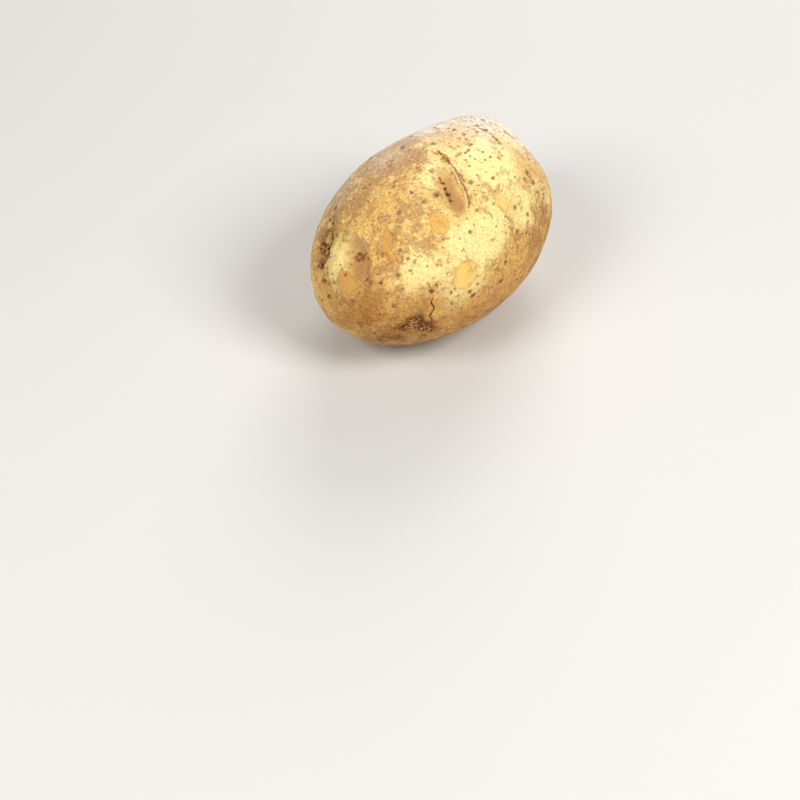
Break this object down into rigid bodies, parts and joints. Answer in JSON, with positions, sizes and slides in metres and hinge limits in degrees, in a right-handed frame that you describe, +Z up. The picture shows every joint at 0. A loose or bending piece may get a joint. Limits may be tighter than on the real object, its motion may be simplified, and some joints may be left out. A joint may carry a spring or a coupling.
{
  "type": "potato",
  "caption": "Whole yellow-skinned potato tuber, a blunt oval with shallow browed eyes, lying on its side on a small flat spot.",
  "frame": {"origin": "under the middle of the tuber's box, on the surface that the tuber rests on", "axes": "+Z up; X along the tuber, with the rose end and its crowded eyes at -X and the stem end at +X; Y across it"},
  "size_m": [0.104, 0.067, 0.06],
  "materials": {
    "potato_skin": "thin satin skin, golden yellow to tan, with brown specks, brown eyes and rubbed patches"
  },
  "bodies": {
    "root": {"potato": "potato_skin"}
  },
  "joints": []
}
